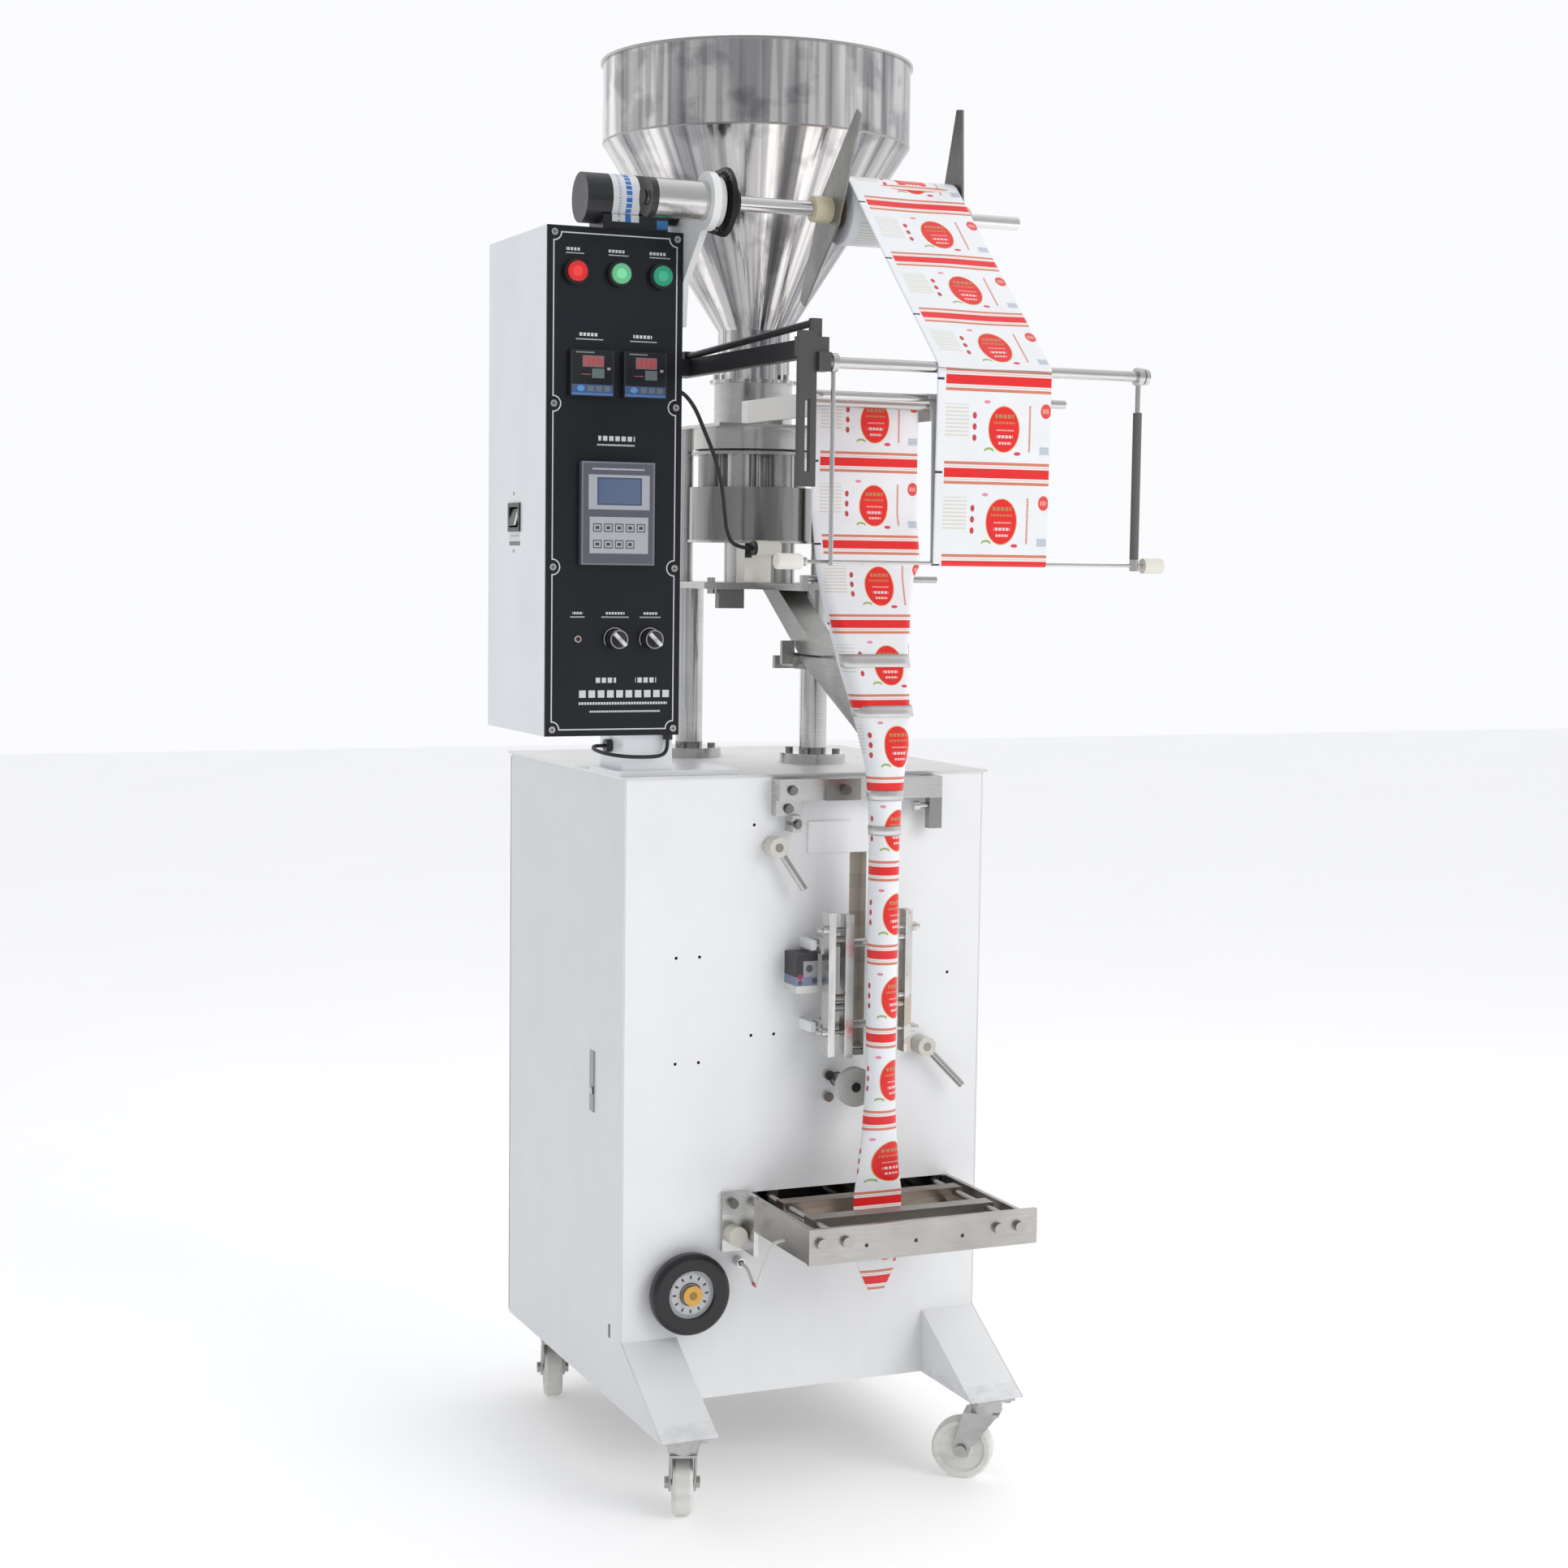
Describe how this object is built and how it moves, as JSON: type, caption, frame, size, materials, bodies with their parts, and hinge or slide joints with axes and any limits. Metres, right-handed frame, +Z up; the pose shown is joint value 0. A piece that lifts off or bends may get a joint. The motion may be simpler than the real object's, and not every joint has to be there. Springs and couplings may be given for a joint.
{
  "type": "vertical form fill sealer",
  "caption": "Small vertical form fill sealer on casters: cup filler and hopper over a forming tube, film unwinder, control box, vertical and cross sealing jaws.",
  "frame": {"origin": "middle of the whole machine's footprint, on the floor", "axes": "+X to the right seen from the front, +Y to the back, +Z up"},
  "size_m": [0.619, 0.797, 1.745],
  "materials": {
    "white_paint": "semi-gloss powder coat",
    "grey_paint": "matt",
    "stainless": "brushed",
    "polished_steel": "polished",
    "zinc": "zinc plated",
    "dark_steel": "blackened, oiled",
    "wheel_nylon": "moulded",
    "black_plastic": "moulded",
    "black_panel": "printed film",
    "grey_plastic": "moulded",
    "red_plastic": "translucent cap",
    "pale_green_plastic": "translucent cap",
    "green_plastic": "translucent cap",
    "film": "printed laminate",
    "bronze": "heat darkened",
    "black_rubber": "smooth",
    "white_silicone": "smooth"
  },
  "bodies": {
    "root": {"bag_controller": "grey_plastic", "box_cable": "black_rubber", "caster_plates": "zinc", "control_box_shell": "white_paint", "control_panel": "black_panel", "drive_units": "grey_paint", "filler_frame": "stainless", "filler_table": "stainless", "film_former": "stainless", "film_web": "film", "front_brackets": "stainless", "front_feet": "white_paint", "front_panel": "white_paint", "hopper": "polished_steel", "inner_frame": "grey_paint", "jaw_frame": "stainless", "jaw_wire": "white_silicone", "panel_fittings": "zinc", "roller_bracket": "stainless", "sensor_cable": "black_rubber", "side_panels": "white_paint", "support_posts": "stainless", "temperature_controllers": "black_plastic", "top_plate": "stainless", "turntable_cover": "stainless", "unwind_arm": "white_paint", "unwind_chain": "dark_steel", "unwind_motor": "dark_steel"},
    "rear_door": {"rear_door": "white_paint"},
    "main_shaft": {"cam_shaft": "stainless", "handwheel": "black_plastic"},
    "pull_roller": {"pull_roller": "stainless"},
    "pinch_roller": {"pinch_roller": "stainless"},
    "unwind_shaft": {"unwind_shaft": "polished_steel", "wing_plates": "stainless", "film_reel": "film"},
    "motor_sprocket": {"motor_sprocket": "dark_steel"},
    "dancer": {"dancer": "stainless", "film_loop": "film"},
    "cup_turntable": {"cup_turntable": "stainless"},
    "main_switch": {"main_switch": "black_plastic"},
    "red_button": {"red_button": "red_plastic"},
    "pale_green_button": {"pale_green_button": "pale_green_plastic"},
    "green_button": {"green_button": "green_plastic"},
    "temperature_knob": {"temperature_knob": "black_plastic"},
    "speed_knob": {"speed_knob": "black_plastic"},
    "upper_lever": {"upper_lever": "zinc"},
    "lower_lever": {"lower_lever": "zinc"},
    "left_seal_bar": {"left_seal_bar": "stainless"},
    "right_seal_bar": {"right_seal_bar": "stainless"},
    "rear_jaw": {"rear_jaw": "bronze"},
    "front_jaw": {"front_jaw": "stainless"},
    "fork_front_left": {"caster_fork_front_left": "zinc"},
    "wheel_front_left": {"caster_wheel_front_left": "wheel_nylon"},
    "fork_front_right": {"caster_fork_front_right": "zinc"},
    "wheel_front_right": {"caster_wheel_front_right": "wheel_nylon"},
    "fork_rear_left": {"caster_fork_rear_left": "zinc"},
    "wheel_rear_left": {"caster_wheel_rear_left": "wheel_nylon"},
    "fork_rear_right": {"caster_fork_rear_right": "zinc"},
    "wheel_rear_right": {"caster_wheel_rear_right": "wheel_nylon"}
  },
  "joints": [
    {"name": "door_hinge", "type": "hinge", "parent": "root", "child": "rear_door", "pos_m": [0.2645, 0.3935, 0.48], "axis": [0, 0, -1], "range_deg": [0, 110]},
    {"name": "swivel_front_left", "type": "hinge", "parent": "root", "child": "fork_front_left", "pos_m": [-0.1685, -0.1635, 0.09], "axis": [0, 0, 1], "continuous": true},
    {"name": "roll_front_left", "type": "hinge", "parent": "fork_front_left", "child": "wheel_front_left", "pos_m": [-0.15892, -0.13719, 0.0375], "axis": [0.9397, -0.342, 0], "continuous": true},
    {"name": "swivel_front_right", "type": "hinge", "parent": "root", "child": "fork_front_right", "pos_m": [0.2305, -0.1635, 0.09], "axis": [0, 0, 1], "continuous": true},
    {"name": "roll_front_right", "type": "hinge", "parent": "fork_front_right", "child": "wheel_front_right", "pos_m": [0.20814, -0.14665, 0.0375], "axis": [0.6018, 0.7986, 0], "continuous": true},
    {"name": "swivel_rear_left", "type": "hinge", "parent": "root", "child": "fork_rear_left", "pos_m": [-0.1685, 0.3085, 0.09], "axis": [0, 0, 1], "continuous": true},
    {"name": "roll_rear_left", "type": "hinge", "parent": "fork_rear_left", "child": "wheel_rear_left", "pos_m": [-0.16078, 0.33542, 0.0375], "axis": [0.9613, -0.2756, 0], "continuous": true},
    {"name": "swivel_rear_right", "type": "hinge", "parent": "root", "child": "fork_rear_right", "pos_m": [0.2305, 0.3085, 0.09], "axis": [0, 0, 1], "continuous": true},
    {"name": "roll_rear_right", "type": "hinge", "parent": "fork_rear_right", "child": "wheel_rear_right", "pos_m": [0.22468, 0.33589, 0.0375], "axis": [0.9781, 0.2079, 0], "continuous": true},
    {"name": "main_shaft_spin", "type": "hinge", "parent": "root", "child": "main_shaft", "pos_m": [-0.1245, -0.0515, 0.242], "axis": [0, 1, 0], "continuous": true},
    {"name": "pull_roller_spin", "type": "hinge", "parent": "root", "child": "pull_roller", "pos_m": [0.0735, -0.0515, 0.487], "axis": [0, 1, 0], "continuous": true},
    {"name": "pinch_roller_spin", "type": "hinge", "parent": "root", "child": "pinch_roller", "pos_m": [0.1121, -0.0515, 0.487], "axis": [0, 1, 0], "continuous": true},
    {"name": "unwind_spin", "type": "hinge", "parent": "root", "child": "unwind_shaft", "pos_m": [-0.0065, -0.1375, 1.525], "axis": [1, 0, 0], "continuous": true},
    {"name": "motor_sprocket_spin", "type": "hinge", "parent": "root", "child": "motor_sprocket", "pos_m": [-0.1265, -0.0215, 1.536], "axis": [1, 0, 0], "continuous": true},
    {"name": "dancer_swing", "type": "hinge", "parent": "root", "child": "dancer", "pos_m": [-0.1065, -0.3885, 1.33], "axis": [1, 0, 0], "range_deg": [-40, 0]},
    {"name": "turntable_spin", "type": "hinge", "parent": "root", "child": "cup_turntable", "pos_m": [0.0515, 0.1865, 1.2], "axis": [0, 0, 1], "continuous": true},
    {"name": "red_button_press", "type": "slide", "parent": "root", "child": "red_button", "axis": [0, 1, 0], "range_m": [0, 0.003], "stiffness_N_per_m": 400, "springref_m": -0.004},
    {"name": "pale_green_button_press", "type": "slide", "parent": "root", "child": "pale_green_button", "axis": [0, 1, 0], "range_m": [0, 0.003], "stiffness_N_per_m": 400, "springref_m": -0.004},
    {"name": "green_button_press", "type": "slide", "parent": "root", "child": "green_button", "axis": [0, 1, 0], "range_m": [0, 0.003], "stiffness_N_per_m": 400, "springref_m": -0.004},
    {"name": "temperature_knob_turn", "type": "hinge", "parent": "root", "child": "temperature_knob", "pos_m": [-0.2205, -0.0515, 1.027], "axis": [0, 1, 0], "range_deg": [0, 90]},
    {"name": "speed_knob_turn", "type": "hinge", "parent": "root", "child": "speed_knob", "pos_m": [-0.1765, -0.0515, 1.027], "axis": [0, 1, 0], "range_deg": [0, 90]},
    {"name": "main_switch_rock", "type": "hinge", "parent": "root", "child": "main_switch", "pos_m": [-0.3035, 0.0655, 1.168], "axis": [0, -1, 0], "range_deg": [0, 28]},
    {"name": "upper_lever_turn", "type": "hinge", "parent": "root", "child": "upper_lever", "pos_m": [-0.0175, -0.0515, 0.778], "axis": [0, 1, 0], "range_deg": [-35, 75]},
    {"name": "lower_lever_turn", "type": "hinge", "parent": "root", "child": "lower_lever", "pos_m": [0.1855, -0.0515, 0.524], "axis": [0, 1, 0], "range_deg": [-35, 75]},
    {"name": "left_seal_close", "type": "slide", "parent": "root", "child": "left_seal_bar", "axis": [1, 0, 0], "range_m": [0, 0.032]},
    {"name": "right_seal_close", "type": "slide", "parent": "root", "child": "right_seal_bar", "axis": [1, 0, 0], "range_m": [-0.0112, 0]},
    {"name": "rear_jaw_close", "type": "slide", "parent": "root", "child": "rear_jaw", "axis": [0, -1, 0], "range_m": [0, 0.028]},
    {"name": "front_jaw_close", "type": "slide", "parent": "root", "child": "front_jaw", "axis": [0, 1, 0], "range_m": [0, 0.028]}
  ],
  "couplings": [
    {"joint": "pinch_roller_spin", "follows": "pull_roller_spin", "ratio": -1.7143},
    {"joint": "motor_sprocket_spin", "follows": "unwind_spin", "ratio": 2.1818},
    {"joint": "right_seal_close", "follows": "left_seal_close", "ratio": -0.35},
    {"joint": "front_jaw_close", "follows": "rear_jaw_close", "ratio": 1}
  ]
}
